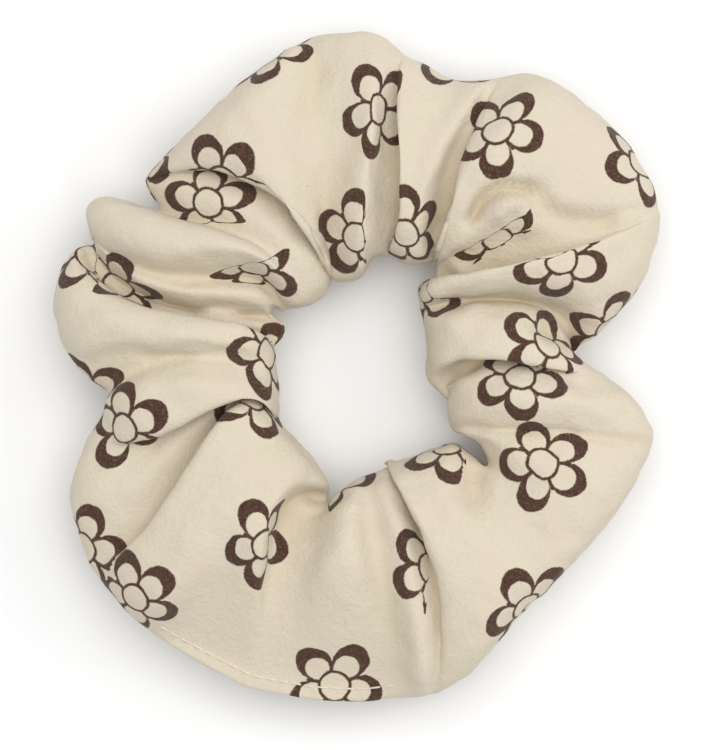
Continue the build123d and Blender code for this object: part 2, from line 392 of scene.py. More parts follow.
def lip_share(points):
    """How much of the closing lip each section has: 1 along it and 0 away from it."""
    outer = points[:, OUTER_ROW]
    angle = np.degrees(np.arctan2(outer[:, 1], outer[:, 0])) % 360
    return np.clip(np.minimum(angle - LIP_START, LIP_END - angle) / 3 + 0.5, 0, 1)


def with_lip(points):
    """The surface with its outer edge pressed flat along the closing lip."""
    width = sewing().lip_width / MM
    ply = cloth().ply / MM
    inside = np.clip((edge_distance(points) - width - LIP_MARGIN) / LIP_SLOPE, 0, 1)
    share = softened(lip_share(points)[:, None, None], 40)[..., 0] * (1 - inside) ** 1.2
    level = points[:, OUTER_ROW : OUTER_ROW + 1, 2]
    rise = points[..., 2] - level
    flat = np.sign(rise) * np.minimum(np.abs(rise), LIP_PLIES * ply)
    made = points.copy()
    made[..., 2] = level + rise * (1 - share) + flat * share
    return made + share[..., None] * (softened(made, 8) - made)


def wrinkles(points, normals):
    """How far the cloth stands out in small soft creases, in mm: least where it folds sharply."""
    rng = random.Random(7)
    total = 0
    for _ in range(WRINKLES):
        size = rng.uniform(*WRINKLE_LENGTHS)
        turn = np.array([rng.gauss(0, 1) for _ in range(3)])
        turn *= 2 * math.pi / size / np.linalg.norm(turn)
        total = total + np.sin(points @ turn + rng.uniform(0, 2 * math.pi))
    flat = np.linalg.norm(softened(normals, 8), axis=2) ** 3
    return total / WRINKLES**0.5 * WRINKLE_HEIGHT * flat


def surface_normals(points):
    """Unit normals of the surface, outwards."""
    along = np.roll(points, -1, 0) - np.roll(points, 1, 0)
    across = np.roll(points, -1, 1) - np.roll(points, 1, 1)
    made = np.cross(across, along)
    return made / np.maximum(np.linalg.norm(made, axis=2, keepdims=True), 1e-9)


def eased(share):
    """A share that starts and ends gently."""
    share = np.clip(share, 0, 1)
    return share**2 * (3 - 2 * share)


def over_elastic(points):
    """The surface kept clear of the elastic, which holds the deepest valleys up."""
    middle, inner, _ = elastic_frame()
    plan = points[..., :2] - middle[:2]
    angle = np.degrees(np.arctan2(plan[..., 1], plan[..., 0]))
    away = np.abs(np.linalg.norm(plan, axis=2) - inner - strayed(angle) - ELASTIC_CLEARANCE)
    share = eased((ELASTIC_REACH - away) / ELASTIC_SLOPE)
    half = sewing().elastic_width / MM / 2 + ELASTIC_CLEARANCE
    upper = (np.arange(ACROSS) < OUTER_ROW)[None]
    lift = np.where(upper, middle[2] + half - points[..., 2], middle[2] - half - points[..., 2])
    lift = np.where(upper, np.maximum(lift, 0), np.minimum(lift, 0)) * share
    ends = np.minimum(np.arange(ACROSS) % OUTER_ROW, -np.arange(ACROSS) % OUTER_ROW)
    made = points.copy()
    made[..., 2] += lift * np.clip(ends / ROWS_TO_EDGE, 0, 1)
    return made


def gathered_surface():
    """The cover's outer face."""
    points = through(np.array([rib_loop(rib) for rib in RIBS]))
    points = over_elastic(with_dents(softened(points, SMOOTHING_ROUNDS)))
    normals = surface_normals(points)
    points = points + normals * wrinkles(points, normals)[..., None]
    return with_lip(points)


# The print

FLOWER_SIZE = 1.05  # of the flowers as printed
FOLD_SQUEEZE = 5.0  # how much the print is pushed together past a fold
FOLD_WIDTH = 0.5  # how wide the squeezed print shows past a fold, in mm
FAR = 40.0  # flat coordinates of cloth that no flower reaches, in mm
SEED_REACH = 1.2  # how far from a flower's listed point its mesh point may lie, in mm
SPARE_HEIGHT = 9  # the highest that a flower lies where none is listed
SPARE_TRIES = 9000


def neighbours(index):
    """The eight mesh points round one."""
    row, column = divmod(index, ACROSS)
    for step in (-1, 0, 1):
        start = (row + step) % AROUND * ACROSS
        for side in (-1, 0, 1):
            if step or side:
                yield start + (column + side) % ACROSS


def unrolled(points, normals, seed, middle, reach):
    """Flat coordinates of the cloth about a flower's middle, for the points within reach of it.

    The cloth is followed outwards from the seed, nearest points first. Each step is measured in the
    tangent plane of the point it leaves and of the point it reaches, whose first axis is carried along
    from the seed. The flat distance is kept close to the distance followed, so lengths are kept.
    """
    normal = normals[seed]
    first = Vector((1, 0, 0))
    axes = {seed: (first - normal * first.dot(normal)).normalized()}
    spans = {seed: 0.0}
    sums = {seed: [0.0, 0.0, 1.0]}
    queue = [(0.0, seed)]
    done = {}
    limit = reach + math.hypot(*middle)
    while queue:
        span, here = heapq.heappop(queue)
        if here in done:
            continue
        x, y, weight = sums[here]
        x, y = x / weight, y / weight
        length = math.hypot(x, y)
        if length > 0:
            kept = min(max(length, 0.9 * span), span) / length
            x, y = x * kept, y * kept
        done[here] = (x, y)
        if span > limit:
            continue
        place, normal, axis = points[here], normals[here], axes[here]
        other = normal.cross(axis)
        for there in neighbours(here):
            if there in done:
                continue
            step = points[there] - place
            facing = normals[there]
            carried = normal.rotation_difference(facing) @ axis
            dx = step.dot(axis) + step.dot(carried)
            dy = step.dot(other) + step.dot(facing.cross(carried))
            scale = step.length / max(math.hypot(dx, dy), 1e-9)
            total = sums.setdefault(there, [0.0, 0.0, 0.0])
            total[0] += (x + dx * scale) / step.length
            total[1] += (y + dy * scale) / step.length
            total[2] += 1 / step.length
            if span + step.length < spans.get(there, 1e9):
                spans[there] = span + step.length
                axes[there] = carried
                heapq.heappush(queue, (spans[there], there))
    return {index: (x - middle[0], y - middle[1]) for index, (x, y) in done.items()}


def seed_above(points, normals, x, y):
    """The mesh point that shows from above at a place in plan."""
    near = np.hypot(points[:, 0] - x, points[:, 1] - y)
    shown = (near < SEED_REACH) & (normals[:, 2] > 0.05)
    if not shown.any():
        return int(np.argmin(near + 5 * (normals[:, 2] < 0)))
    height = np.where(shown, points[:, 2], -1)
    level = height.max()
    return int(np.argmin(np.where(shown & (height > level - 2), near, 99)))


def spare_seeds(points, taken):
    """Flower middles for the cloth where none is listed: the sides, the hole and the underside."""
    rng = random.Random(3)
    gap = cloth().flower_gap / MM
    middles = [points[seed] for seed in taken]
    made = []
    order = list(range(len(points)))
    rng.shuffle(order)
    for seed in order[:SPARE_TRIES]:
        place = points[seed]
        if place[2] > SPARE_HEIGHT or any(np.linalg.norm(place - m) < gap for m in middles):
            continue
        middles.append(place)
        made.append((seed, rng.uniform(0, 360 / PETALS)))
    return made


def unit(degrees):
    """The direction at an angle from +X."""
    return math.cos(math.radians(degrees)), math.sin(math.radians(degrees))


def print_coordinates(surface):
    """Flat coordinates of each face corner about its nearest flower, turned to that flower.

    The third number is how far the corner lies past the flower's fold, in mm.
    """
    points = surface.reshape(-1, 3)
    normals = surface_normals(surface).reshape(-1, 3)
    listed = [
        (seed_above(points, normals, x, y), turn, (dx, dy), folds) for x, y, turn, dx, dy, *folds in FLOWERS
    ]
    spare = [(seed, turn, (0, 0), ()) for seed, turn in spare_seeds(points, [f[0] for f in listed])]
    places = [Vector(p) for p in points]
    facings = [Vector(n) for n in normals]
    faces = face_corners()
    best = np.full(len(faces), FAR)
    flat = np.full((len(faces), 4, 3), FAR)
    for seed, turn, middle, folds in listed + spare:
        found = unrolled(places, facings, seed, middle, cloth().flower_reach / MM)
        c, s = unit(turn)
        local = np.full((len(points), 3), np.nan)
        for index, (x, y) in found.items():
            past = -FAR
            for facing, offset in folds:
                ex, ey = unit(facing)
                over = x * ex + y * ey - offset
                past = max(past, over)
                x, y = (value + way * max(0, over) * FOLD_SQUEEZE for value, way in ((x, ex), (y, ey)))
            local[index] = ((x * c + y * s) / FLOWER_SIZE, (y * c - x * s) / FLOWER_SIZE, past)
        corners = local[faces]
        hidden = corners[..., 2].min(1) > FOLD_WIDTH
        away = np.linalg.norm(corners[..., :2], axis=2).mean(1) + FAR * hidden
        nearer = np.isfinite(away) & (away < best)
        best[nearer] = away[nearer]
        flat[nearer] = corners[nearer]
    return flat


def face_corners():
    """The four mesh points of each face of the tube, facing outwards."""
    index = np.arange(AROUND * ACROSS).reshape(AROUND, ACROSS)
    right, up = np.roll(index, -1, 1), np.roll(index, -1, 0)
    return np.stack([index, right, np.roll(right, -1, 0), up], axis=2).reshape(-1, 4)


# Pieces


def piece(name, points, faces):
    """A smooth mesh object from points in millimetres."""
    mesh = bpy.data.meshes.new(name)
    mesh.from_pydata((np.asarray(points, float).reshape(-1, 3) * MM).tolist(), [], faces)
    mesh.polygons.foreach_set("use_smooth", [True] * len(mesh.polygons))
    mesh.update()
    made = bpy.data.objects.new(name, mesh)
    bpy.context.collection.objects.link(made)
    return made


def finished(made, slot, *nodes):
    """Joins a piece to the frame."""
    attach(made, "root")
    if nodes:
        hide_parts(*nodes)
    return made


def grid_faces(rows, columns, closed=False):
    """Faces of a grid of points. In a closed grid the last column joins the first."""
    faces = []
    for low, high in ((i * columns, (i + 1) * columns) for i in range(rows - 1)):
        for here in range(columns - (not closed)):
            beside = (here + 1) % columns
            faces.append([low + here, high + here, high + beside, low + beside])
    return faces


# Seams, allowances and elastic

ALLOWANCE_START = 0.6  # from the cloth's outer face to the allowances, in mm
LONG_SEAM_DEPTH = 3.4
END_SEAM_DEPTH = 3.0
EXTRA_DEPTHS = (0.0, 1.0, 2.0, 3.0, 4.5, 6.0)  # tried in turn until the allowance is inside its folds
TESTED_DEPTHS = np.linspace(0, 4.5, 5)  # across the allowance, where its gap to the cloth is tried
CLEAR_OF_CLOTH = 0.7  # least gap from the allowance to the cloth's outer face
EDGE_POINTS = 20  # mesh points from the outer edge among which the closing stitches lie
END_SEAM_GAP = 4  # mesh rows that the long seam's allowance stops short of the end seam's
RIBBON_ROWS = range(END_SEAM_GAP, AROUND - END_SEAM_GAP)


def middle_line(section):
    """The line between the top and bottom cloth of a section, from the outer edge to the hole."""
    steps = np.arange(OUTER_ROW + 1)
    line = (section[OUTER_ROW - steps] + section[(OUTER_ROW + steps) % ACROSS]) / 2
    return line, np.concatenate([[0], np.cumsum(np.linalg.norm(np.diff(line[:, :2], axis=0), axis=1))])


def inside_edge(section, depths):
    """Points of a section's middle line at depths in from its outer edge."""
    line, along = middle_line(section)
    plan = [np.interp(depths, along, line[:, k]) for k in (0, 1)]
    return np.column_stack([*plan, np.full(len(depths), section[OUTER_ROW, 2])])


def long_ribbon(surface, depths):
    """Points at depths in from the outer edge for each row, further in where a fold comes close."""
    faces = face_corners().tolist()
    cloth_face = BVHTree.FromPolygons([Vector(p) for p in surface.reshape(-1, 3)], faces)
    starts = []
    for row in RIBBON_ROWS:
        for start in EXTRA_DEPTHS:
            strip = inside_edge(surface[row], ALLOWANCE_START + start + TESTED_DEPTHS)
            if all(clear_inside(cloth_face, Vector(p)) for p in strip):
                break
        starts.append(start)
    # each row starts as far in as the furthest of its neighbours, and then they are evened out
    starts = np.array([max(starts[max(0, i - 4) : i + 5]) for i in range(len(starts))], float)
    starts = np.array([starts[max(0, i - 3) : i + 4].mean() for i in range(len(starts))])
    return np.array([inside_edge(surface[row], depths + start) for row, start in zip(RIBBON_ROWS, starts)])


def clear_inside(cloth_face, place):
    """Whether a point lies inside the tube, clear of its cloth."""
    near = cloth_face.find_nearest(place)
    return (near[0] - place).dot(near[1]) > CLEAR_OF_CLOTH


def edge_side(section, depth, sign):
    """The point on the upper or lower cloth of a section that is so far in from its outer edge."""
    side = section[(OUTER_ROW - sign * np.arange(OUTER_ROW)) % ACROSS]
    along = np.linalg.norm(side[:, :2] - side[0, :2], axis=1)
    return np.array([np.interp(depth, along[:EDGE_POINTS], side[:EDGE_POINTS, k]) for k in range(3)])


def end_loop(surface, depth):
    """A loop round the tube at the end seam, so far inside its cloth, and the way across the seam."""
    section = surface[0]
    line, along = middle_line(section)
    steps = np.abs(np.arange(ACROSS) - OUTER_ROW)
    place = along[steps]
    half, middle = along[-1] / 2, section[:, 2].min() / 2 + section[:, 2].max() / 2
    rise = section[:, 2].max() - middle
    place = half + (place - half) * (half - depth) / half
    behind, plan, ahead = (
        np.column_stack([np.interp(place + step, along, line[:, k]) for k in (0, 1)])
        for step in (-0.5, 0, 0.5)
    )
    way = (ahead - behind) / np.linalg.norm(ahead - behind, axis=1, keepdims=True)
    height = middle + (section[:, 2] - middle) * (rise - depth) / rise
    across = np.column_stack([way[:, 1], -way[:, 0], np.zeros(ACROSS)])
    return np.column_stack([plan, height]), across


ELASTIC_JOIN = 150.0  # angle of the lap's middle, in degrees
ELASTIC_OVERLAP = 12.0  # length of the lap, in mm
ELASTIC_RAMP = 8.0  # degrees in which the top end steps over the bottom end
ELASTIC_STEP = 1.01  # from one lapped end's face to the other's, in mm
ELASTIC_CORDS = 7  # rubber cords across the band
ELASTIC_ROWS, ELASTIC_COLUMNS = 420, 43  # mesh rows along the band and across one face
ELASTIC_CLEARANCE = 0.9  # from the elastic to the cloth's outer face
ELASTIC_REACH, ELASTIC_SLOPE = 4.5, 2.7  # how far from the elastic the cloth is held up, and how it ends
ROWS_TO_EDGE = 5  # mesh rows from an edge of the cloth to where the elastic can hold it up
ZIGZAG_WIDTH, ZIGZAG_RISE = 3.6, 0.06
ZIGZAG_SHARE, ZIGZAG_ROWS = 0.64, 8  # share of the lap's length, and stitches in it
JOIN_THREAD, JOIN_RUN = 0.8, 0.8  # the zigzag's thread against the seams', and its share of a stitch
STRAYS = [(54, 2.4, 11), (252, 3.2, 12), (323, 4.2, 12)]  # angle, how far out and width of its bulges


def strayed(angle):
    """How far the elastic bulges outwards at an angle, in mm."""
    away = [((angle - at + 180) % 360 - 180) / width for at, _, width in STRAYS]
    return sum(out * np.exp(-(gap**2)) for gap, (_, out, _) in zip(away, STRAYS))


def elastic_frame():
    """The elastic's middle, the radius of its inner face and its lap in degrees."""
    low, high = (np.array(corner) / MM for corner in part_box("elastic_band"))
    thickness = sewing().elastic_thickness / MM
    inner = (high[0] - low[0]) / 2 - thickness
    return (low + high) / 2, inner, math.degrees(ELASTIC_OVERLAP / inner)


def elastic_sections():
    """Sections of the ribbed band from its lower end once round and over onto the lap."""
    middle, inner, lap = elastic_frame()
    width, thickness = sewing().elastic_width / MM, sewing().elastic_thickness / MM
    start = ELASTIC_JOIN - lap / 2
    angles = np.linspace(start, start + 360 + lap, ELASTIC_ROWS)
    lift = ELASTIC_STEP * eased((angles - (start + 360 - ELASTIC_RAMP)) / ELASTIC_RAMP)
    across = np.linspace(-1, 1, ELASTIC_COLUMNS)
    rib = 0.42 + 0.08 * np.cos(across * math.pi * ELASTIC_CORDS + math.pi * (ELASTIC_CORDS - 1))
    rib *= np.clip((1 - np.abs(across)) * 12, 0.3, 1)
    height = np.concatenate([across, across[::-1]]) * width / 2
    out = thickness * (0.5 + np.concatenate([rib, -rib[::-1]]))
    radius = inner + (lift + strayed(angles))[:, None] + out[None]
    turn = np.radians(angles)[:, None]
    return np.stack(
        [
            middle[0] + radius * np.cos(turn),
            middle[1] + radius * np.sin(turn),
            middle[2] + np.broadcast_to(height, radius.shape),
        ],
        axis=2,
    )


def zigzag(sign):
    """The zigzag's needle holes on the outer or the inner face of the elastic's lap."""
    middle, inner, lap = elastic_frame()
    thickness = sewing().elastic_thickness / MM
    radius = inner + thickness + ELASTIC_STEP if sign > 0 else inner
    length = ZIGZAG_SHARE * lap
    turn = np.radians(ELASTIC_JOIN - length / 2 + length * np.arange(ZIGZAG_ROWS + 1) / ZIGZAG_ROWS)
    height = middle[2] + (-1.0) ** np.arange(ZIGZAG_ROWS + 1) * ZIGZAG_WIDTH / 2
    out = np.column_stack([np.cos(turn), np.sin(turn), np.zeros(len(turn))])
    places = out * (radius + sign * ZIGZAG_RISE) + np.array([middle[0], middle[1], 0])
    places[:, 2] = height
    return places, out * sign


def stitch_tree():
    """Geometry nodes that lay a row of stitches along a path, on the side that it faces."""
    if "stitch_row" in bpy.data.node_groups:
        return bpy.data.node_groups["stitch_row"]
    inputs = [
        ("Path", "Geometry", None),
        ("Pitch", "Float", 0.0023),
        ("Share", "Float", 0.8),
        ("Thread", "Float", 0.0003),
        ("Keep Corners", "Bool", False),
        ("Material", "Material", None),
    ]
    tree, given, result = group("stitch_row", inputs, [("Stitches", "Geometry")], "Geometry")
    path = first("GeometryNodeMeshToCurve", {0: given["Path"]})
    spaced = first("GeometryNodeResampleCurve", {"Curve": path, "Length": given["Pitch"]}, mode="LENGTH")
    choice = {"Switch": given["Keep Corners"], "False": spaced, "True": path}
    path = first("GeometryNodeSwitch", choice, input_type="GEOMETRY")
    holes = first("GeometryNodeCurveToMesh", {"Curve": path})
    ends = put("GeometryNodeInputMeshEdgeVertices", tree=tree).outputs
    way = vector("SUBTRACT", {0: ends["Position 2"], 1: ends["Position 1"]})
    for name, value in (("way", way), ("side", stored(tree, "facing"))):
        wanted = {"Geometry": holes, "Name": name, "Value": value}
        holes = first("GeometryNodeStoreNamedAttribute", wanted, data_type="FLOAT_VECTOR", domain="EDGE")
    points = first("GeometryNodeMeshToPoints", {"Mesh": holes}, mode="EDGES")
    way, side = stored(tree, "way"), stored(tree, "side")
    turn = first("FunctionNodeAlignRotationToVector", {"Vector": way}, axis="X")
    wanted = {"Rotation": turn, "Vector": side}
    turn = first("FunctionNodeAlignRotationToVector", wanted, axis="Z", pivot_axis="X")
    length = calc("MULTIPLY", length_of(way), given["Share"])
    scale = first("ShaderNodeCombineXYZ", {"X": length, "Y": 1.0, "Z": 1.0})
    bend = [
        first("ShaderNodeCombineXYZ", {"X": along, "Z": calc("MULTIPLY", given["Thread"], rise)})
        for along, rise in ((-0.5, STITCH_SINK), (0.0, STITCH_RISE), (0.5, STITCH_SINK))
    ]
    bend = dict(zip(("Start", "Middle", "End"), bend))
    dash = first("GeometryNodeCurveQuadraticBezier", {"Resolution": 6, **bend})
    radius = calc("MULTIPLY", given["Thread"], 0.5)
    profile = first("GeometryNodeCurvePrimitiveCircle", {"Resolution": 8, "Radius": radius})
    wanted = {"Curve": dash, "Profile Curve": profile, "Fill Caps": True}
    dash = first("GeometryNodeCurveToMesh", wanted)
    wanted = {"Points": points, "Instance": dash, "Rotation": turn, "Scale": scale}
    laid = first("GeometryNodeInstanceOnPoints", wanted)
    laid = first("GeometryNodeRealizeInstances", {0: laid})
    laid = first("GeometryNodeSetMaterial", {"Geometry": laid, "Material": given["Material"]})
    laid = first("GeometryNodeSetShadeSmooth", {"Geometry": laid})
    tree.links.new(laid, result[0])
    return tree


def stitched(name, runs, tree, size, look, slot):
    """A thread's stitches along runs of points in millimetres, each with the way that it faces."""
    mesh = bpy.data.meshes.new(f"{name}_path")
    points = np.concatenate([places for places, _ in runs]) * MM
    edges, start = [], 0
    for places, _ in runs:
        edges += [(start + i, start + i + 1) for i in range(len(places) - 1)]
        start += len(places)
    mesh.from_pydata(points.tolist(), edges, [])
    facing = mesh.attributes.new("facing", "FLOAT_VECTOR", "POINT")
    facing.data.foreach_set("vector", np.concatenate([ways for _, ways in runs]).astype(float).reshape(-1))
    made = bpy.data.objects.new(name.replace("thread", "stitches"), mesh)
    bpy.context.collection.objects.link(made)
    row = made.modifiers.new("stitches", "NODES")
    row.node_group = tree
    wanted = {**size, "Material": look}
    for socket in tree.interface.items_tree:
        if socket.in_out == "INPUT" and socket.name in wanted:
            row[socket.identifier] = wanted[socket.name]
    bpy.context.view_layer.update()
    plain = bpy.data.meshes.new_from_object(made.evaluated_get(bpy.context.evaluated_depsgraph_get()))
    made.modifiers.remove(row)
    made.data = plain
    return finished(made, slot, name)


# Node groups and materials

STITCH_SINK, STITCH_RISE = -0.35, 1.3  # of a stitch's ends and middle, against its thread
PETALS = 5
SECTOR = 2 * math.pi / PETALS
# Sizes of a flower, in mm
RING_RADIUS, RING_LINE = 2.6, 0.27  # the ring round its middle, and half the width of its line
PETAL_MIDDLE, PETAL_SIZE = 5.25, (3.3, 2.95)  # oval of a petal's outer edge
HOLLOW_MIDDLE, HOLLOW_SIZE = 4.1, (2.1, 2.05)  # unprinted oval inside it
PETAL_START = 2.4  # how far out the petals' lines begin
SPOKE_LINE, SPOKE_END = 0.33, 4.7  # half the width of the line between two petals, and where it ends
PRINT_BLUR = 0.13
CREPE_HEIGHTS = (2.6, 1.3, 0.4, 0.03)  # of the crinkle, pebble, fine grain and yarn
CREPE_SHADES = (0.55, 0.35, 0.1)  # shares of the fine grain, pebble and yarn in its shade
KNIT_RADIUS, KNIT_PITCH, KNIT_ROW, KNIT_SLANT = 25, 0.9, 0.86, 1.2  # of the elastic's yarn


def put(kind, values=None, tree=None, **settings):
    """A node with its settings, and its inputs set or linked, in the tree of the sockets it is given."""
    values = values or {}
    sockets = [value for value in values.values() if isinstance(value, bpy.types.NodeSocket)]
    tree = tree or sockets[0].id_data
    made = tree.nodes.new(kind)
    for name, value in settings.items():
        setattr(made, name, value)
    for key, value in values.items():
        if isinstance(value, bpy.types.NodeSocket):
            tree.links.new(value, made.inputs[key])
        else:
            made.inputs[key].default_value = value
    return made


def first(kind, values=None, tree=None, **settings):
    """The first output of a new node."""
    return put(kind, values, tree, **settings).outputs[0]


def calc(operation, *values):
    """The result of a Math node."""
    return first("ShaderNodeMath", dict(enumerate(values)), operation=operation)


def added(*values):
    """The sum of values."""
    made = values[0]
    for value in values[1:]:
        made = calc("ADD", made, value)
    return made


def vector(operation, values):
    """The result of a Vector Math node."""
    return first("ShaderNodeVectorMath", values, operation=operation)


def length_of(value):
    """The length of a vector."""
    return put("ShaderNodeVectorMath", {0: value}, operation="LENGTH").outputs["Value"]


def stored(tree, name):
    """A vector attribute of the geometry."""
    return first("GeometryNodeInputNamedAttribute", {"Name": name}, tree, data_type="FLOAT_VECTOR")


def ranged(value, low, high, start=0.0, end=1.0, **settings):
    """A value carried over from one range to another."""
    limits = {"From Min": low, "From Max": high, "To Min": start, "To Max": end}
    return first("ShaderNodeMapRange", {"Value": value, **limits}, **settings)


def group(name, inputs, outputs, kind="Shader"):
    """An empty node group with named sockets, its input node's outputs and its output node's inputs."""
    tree = bpy.data.node_groups.new(name, f"{kind}NodeTree")
    for socket, form, default in inputs:
        made = tree.interface.new_socket(name=socket, in_out="INPUT", socket_type=f"NodeSocket{form}")
        if default is not None:
            made.default_value = default
    for socket, form in outputs:
        tree.interface.new_socket(name=socket, in_out="OUTPUT", socket_type=f"NodeSocket{form}")
    return tree, put("NodeGroupInput", tree=tree).outputs, put("NodeGroupOutput", tree=tree).inputs


def noise(place, scale, detail=2.0):
    """A noise texture over places in millimetres."""
    wanted = {"Vector": place, "Scale": scale, "Detail": detail, "Roughness": 0.6}
    return put("ShaderNodeTexNoise", wanted).outputs


def wave(wanted):
    """A texture of slanting bands."""
    return put("ShaderNodeTexWave", wanted, bands_direction="DIAGONAL").outputs["Fac"]


def wobbled(value, around, scale, amount):
    """A vector moved about by noise."""
    shift = vector("SUBTRACT", {0: noise(around, scale)["Color"], 1: (0.5, 0.5, 0.5)})
    return vector("ADD", {0: value, 1: vector("SCALE", {0: shift, "Scale": amount})})


def oval(x, y, middle, size):
    """1 on an oval's edge, less inside it and more outside."""
    squares = [
        calc("POWER", calc("DIVIDE", calc("SUBTRACT", value, centre), half), 2)
        for value, centre, half in zip((x, y), middle, size)
    ]
    return calc("SQRT", calc("ADD", *squares))


def flower_group():
    """A hand-drawn flower: a ring and five outlined petals that are thickest at their tips."""
    inputs = [("Flat", "Vector", None), ("Around", "Vector", None)]
    tree, given, result = group("flower_print", inputs, [("Mask", "Float")])
    flat = wobbled(given["Flat"], given["Around"], 0.22, 0.9)
    flat = wobbled(flat, given["Around"], 2.6, 0.3)
    x, y = put("ShaderNodeSeparateXYZ", {0: flat}).outputs[:2]
    radius = length_of(flat)
    angle = calc("ARCTAN2", y, x)
    petal = calc("ROUND", calc("DIVIDE", angle, SECTOR))
    local = calc("SUBTRACT", angle, calc("MULTIPLY", petal, SECTOR))
    out = calc("MULTIPLY", radius, calc("COSINE", local))
    side = calc("MULTIPLY", radius, calc("SINE", local))
    # each petal differs a little in its reach and its lean
    vary = calc("SINE", calc("MULTIPLY_ADD", petal, 2.2, 0.9))
    lean = calc("MULTIPLY", calc("SINE", calc("MULTIPLY", petal, 3.9)), 0.3)
    reach = calc("MULTIPLY_ADD", vary, 0.35, PETAL_MIDDLE)
    leaned = calc("SUBTRACT", side, lean)
    outer = oval(calc("SUBTRACT", out, reach), leaned, (0, 0), PETAL_SIZE)
    outline = calc("MULTIPLY", calc("SUBTRACT", 1, outer), 3)
    inner = oval(out, side, (HOLLOW_MIDDLE, 0), HOLLOW_SIZE)
    hollow = calc("MULTIPLY", calc("SUBTRACT", inner, 1), 2)
    clear = calc("SUBTRACT", radius, PETAL_START)
    petals = calc("MINIMUM", calc("MINIMUM", outline, hollow), clear)
    off_ring = calc("ABSOLUTE", calc("SUBTRACT", radius, RING_RADIUS))
    ring = calc("SUBTRACT", RING_LINE, off_ring)
    between = calc("SUBTRACT", SECTOR / 2, calc("ABSOLUTE", local))
    off_spoke = calc("MULTIPLY", radius, calc("SINE", between))
    spoke = calc("MINIMUM", calc("SUBTRACT", SPOKE_LINE, off_spoke), clear)
    spoke = calc("MINIMUM", spoke, calc("SUBTRACT", SPOKE_END, radius))
    shape = calc("MAXIMUM", calc("MAXIMUM", petals, ring), spoke)
    mask = ranged(shape, -PRINT_BLUR, PRINT_BLUR, interpolation_type="SMOOTHSTEP")
    tree.links.new(mask, result["Mask"])
    return tree


def crepe_group():
    """Crinkled crepe: the height of its grain and its shade, from places in millimetres."""
    inputs = [("Vector", "Vector", None), ("Crinkle", "Float", 1.0)]
    tree, given, result = group("crepe_grain", inputs, [("Height", "Float"), ("Shade", "Float")])
    crinkle, pebble, fine = (
        noise(given["Vector"], scale, detail)[0] for scale, detail in ((0.42, 3), (1.5, 2), (4.2, 1))
    )
    bands = {"Scale": 1.1, "Distortion": 4.0, "Detail": 1.0, "Detail Scale": 2.0}
    yarn = wave({"Vector": given["Vector"], **bands})
    grains = (crinkle, pebble, fine, yarn)
    heights = [calc("MULTIPLY", grain, height) for grain, height in zip(grains, CREPE_HEIGHTS)]
    heights[0] = calc("MULTIPLY", heights[0], given["Crinkle"])
    tree.links.new(added(*heights), result["Height"])
    grains = (fine, pebble, yarn)
    shades = [calc("MULTIPLY", grain, share) for grain, share in zip(grains, CREPE_SHADES)]
    tree.links.new(added(*shades), result["Shade"])
    return tree


def material(name, **constants):
    """A new material, its Principled shader with constants set, and its places in millimetres."""
    made = bpy.data.materials.new(name)
    made.use_nodes = True
    shader = made.node_tree.nodes["Principled BSDF"]
    for socket, value in constants.items():
        shader.inputs[socket.replace("_", " ")].default_value = value
    place = put("ShaderNodeTexCoord", tree=made.node_tree).outputs["Object"]
    return made, shader, vector("SCALE", {0: place, "Scale": 1 / MM})


def looks(shader, **values):
    """Links values to a shader's inputs."""
    for name, value in values.items():
        value.id_data.links.new(value, shader.inputs[name.replace("_", " ")])


def bump(height, strength, distance):
    """Normals of a surface raised by a height."""
    return first("ShaderNodeBump", {"Strength": strength, "Distance": distance, "Height": height})


def mixed(factor, low, high):
    """A colour between two."""
    wanted = {0: factor, 6: low, 7: high}
    return put("ShaderNodeMix", wanted, data_type="RGBA", clamp_factor=True).outputs[2]


def tone(colour, share):
    """A colour made lighter or darker."""
    return (*[min(1, c * share) for c in colour], 1)


def toned(factor, colour, low, high):
    """A colour that varies between two of its tones."""
    return mixed(factor, tone(colour, low), tone(colour, high))


def crepe_material(flower, crepe):
    """Printed crepe, with a warm painted shade inside its folds."""
    made, shader, place = material(
        "printed_crepe", Sheen_Weight=0.12, Sheen_Roughness=0.6, Specular_IOR_Level=0.12
    )
    tree = made.node_tree
    flat = first("ShaderNodeUVMap", tree=tree, uv_map="print")
    mask = first("ShaderNodeGroup", {"Flat": flat, "Around": place}, node_tree=flower)
    # past_fold hides the print past a crease; fold is the share of painted fold shade
    past, depth = (
        put("ShaderNodeAttribute", tree=tree, attribute_name=name).outputs["Fac"]
        for name in ("past_fold", "fold")
    )
    mask = calc("MULTIPLY", mask, calc("LESS_THAN", past, FOLD_WIDTH))
    grain = put("ShaderNodeGroup", {"Vector": place, "Crinkle": 1.0}, node_tree=crepe).outputs
    shade = ranged(grain["Shade"], 0.3, 0.7)
    blush = ranged(noise(place, 0.09)[0], 0.45, 0.7)
    ground = toned(shade, cloth().ground, 0.93, 1.05)
    ground = mixed(blush, ground, (*cloth().blush, 1))
    # painted shade: the crepe is tinted warmer and darker inside its folds, standing in for the shade there
    ground = mixed(depth, ground, (*cloth().painted_fold_shade, 1))
    ink = toned(shade, cloth().ink, 0.5, 1.6)
    worn = calc("MULTIPLY", mask, ranged(grain["Shade"], 0.55, 0.8, 1, 0.82))
    rough = ranged(grain["Shade"], 0, 1, 0.78, 0.95)
    normal = bump(grain["Height"], 0.6, 0.0002)
    looks(shader, Base_Color=mixed(worn, ground, ink), Roughness=rough, Normal=normal)
    return made


def thread_material(name, colour):
    """Twisted sewing thread."""
    made, shader, place = material(name, Roughness=0.7, Sheen_Weight=0.3)
    twist = wave({"Vector": place, "Scale": 2.4, "Distortion": 1.0})
    looks(shader, Base_Color=toned(twist, colour, 0.82, 1.08), Normal=bump(twist, 0.5, 0.00005))
    return made


